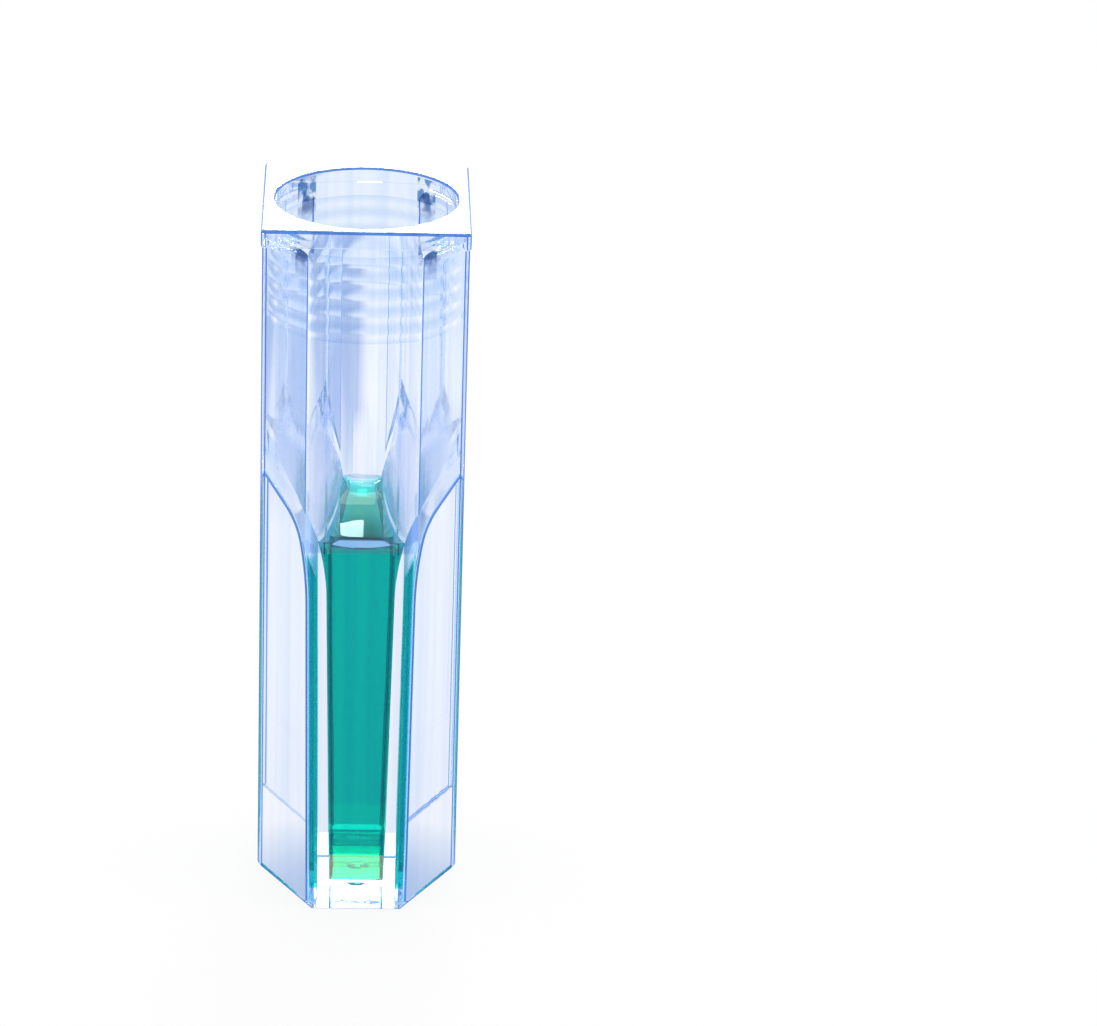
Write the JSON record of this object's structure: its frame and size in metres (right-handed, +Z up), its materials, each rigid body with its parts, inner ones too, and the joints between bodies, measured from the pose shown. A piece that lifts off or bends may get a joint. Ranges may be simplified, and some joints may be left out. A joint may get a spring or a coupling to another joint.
{
  "type": "cuvette",
  "caption": "Clear square lab cuvette with a narrow sample chamber between two flat windows, a funnel, a round mouth and ribbed sides, part-filled with a green sample.",
  "frame": {"origin": "middle of the underside, where the foot stands", "axes": "+Z up towards the mouth, Y along the light path through the two windows, X across the windows towards the ribbed sides"},
  "size_m": [0.0126, 0.0126, 0.045],
  "materials": {
    "clear_plastic": "clear, polished, faintly blue in its edges",
    "sample": "clear green-blue liquid"
  },
  "bodies": {
    "root": {"cuvette_body": "clear_plastic", "sample_liquid": "sample"}
  },
  "joints": []
}
